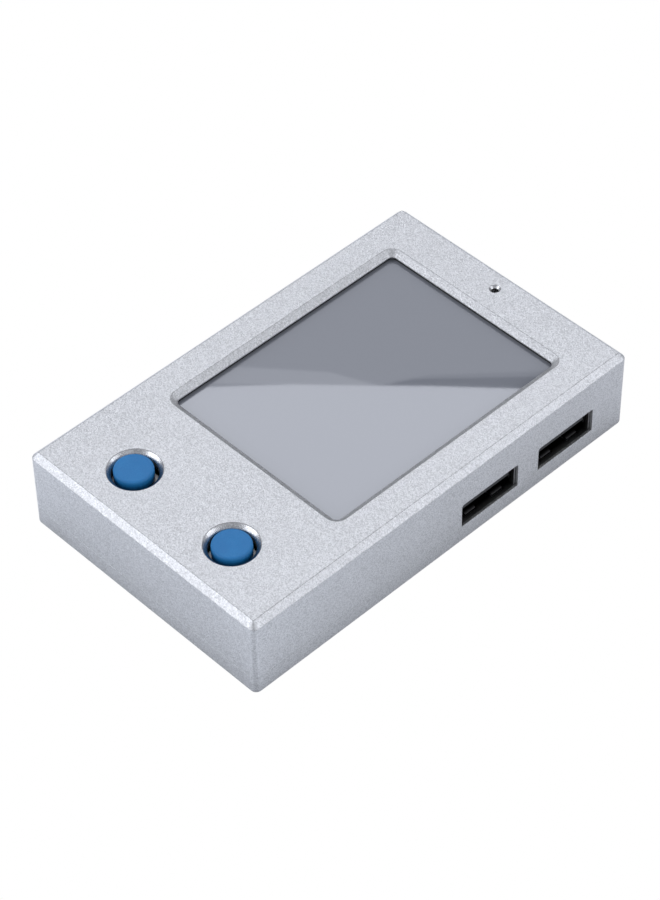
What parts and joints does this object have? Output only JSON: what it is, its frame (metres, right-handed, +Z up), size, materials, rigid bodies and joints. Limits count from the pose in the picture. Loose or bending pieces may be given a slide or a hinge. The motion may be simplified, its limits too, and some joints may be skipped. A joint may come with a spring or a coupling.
{
  "type": "usb power meter",
  "caption": "Slab-shaped pocket tester in a two-piece metal case, with a large recessed screen, round push buttons and power sockets in one long side.",
  "frame": {"origin": "middle of the underside, on the face that the case lies on", "axes": "+Z up through the screen, +X to the side with the two output sockets, +Y to the end with the indicator light, -Y to the end with the buttons"},
  "size_m": [0.0534, 0.0864, 0.0164],
  "materials": {
    "case_aluminium": "fine bead blast, clear anodised",
    "steel_fastener": "zinc plated, satin",
    "gasket_foam": "closed-cell foam, matt",
    "screen_film": "glossy front film over a dark, switched-off panel",
    "screen_glass": "clear, dark where the panel is off",
    "backlight_white": "white diffuser",
    "tray_steel": "bright sheet",
    "carrier_black": "fine texture",
    "ribbon_amber": "satin film",
    "connector_ivory": "moulded",
    "board_green": "satin solder mask",
    "button_blue": "fine matt texture",
    "switch_black": "moulded",
    "plunger_white": "moulded",
    "spring_steel": "bright",
    "tinned_brass": "tinned, satin",
    "socket_steel": "nickel plated, bright",
    "socket_black": "moulded",
    "contact_gold": "gold plated",
    "indicator_clear": "clear resin",
    "chip_black": "moulded",
    "ferrite_grey": "sintered, matt",
    "can_aluminium": "drawn can",
    "ceramic_tan": "sintered"
  },
  "bodies": {
    "case": {"top_shell": "case_aluminium", "bottom_cover": "case_aluminium", "cover_screws": "steel_fastener", "board_screws": "steel_fastener", "display_gasket": "gasket_foam", "display_film": "screen_film", "display_glass": "screen_glass", "display_backlight": "backlight_white", "display_tray": "tray_steel", "display_carrier": "carrier_black", "display_ribbon": "ribbon_amber", "ribbon_connector": "connector_ivory", "circuit_board": "board_green", "indicator_light": "indicator_clear", "microcontroller": "chip_black", "clock_crystal": "spring_steel", "voltage_regulator": "chip_black", "power_inductor": "ferrite_grey", "current_shunt": "ceramic_tan", "load_switches": "chip_black", "bulk_capacitors": "can_aluminium", "ceramic_capacitors": "ceramic_tan", "input_shell": "socket_steel", "input_insulator": "socket_black", "input_contacts": "contact_gold", "left_switch_base": "switch_black", "left_switch_cover": "spring_steel", "left_switch_dome": "spring_steel", "left_switch_terminals": "tinned_brass", "right_switch_base": "switch_black", "right_switch_cover": "spring_steel", "right_switch_dome": "spring_steel", "right_switch_terminals": "tinned_brass", "front_output_shell": "socket_steel", "front_output_insulator": "socket_black", "front_output_contacts": "contact_gold", "rear_output_shell": "socket_steel", "rear_output_insulator": "socket_black", "rear_output_contacts": "contact_gold"},
    "left_button": {"left_button_cap": "button_blue", "left_switch_plunger": "plunger_white"},
    "right_button": {"right_button_cap": "button_blue", "right_switch_plunger": "plunger_white"}
  },
  "joints": [
    {"name": "left_button_press", "type": "slide", "parent": "case", "child": "left_button", "axis": [0, 0, -1], "range_m": [0, 0.0003], "stiffness_N_per_m": 5000, "springref_m": -0.0001, "deforming": ["left_switch_dome"]},
    {"name": "right_button_press", "type": "slide", "parent": "case", "child": "right_button", "axis": [0, 0, -1], "range_m": [0, 0.0003], "stiffness_N_per_m": 5000, "springref_m": -0.0001, "deforming": ["right_switch_dome"]}
  ]
}
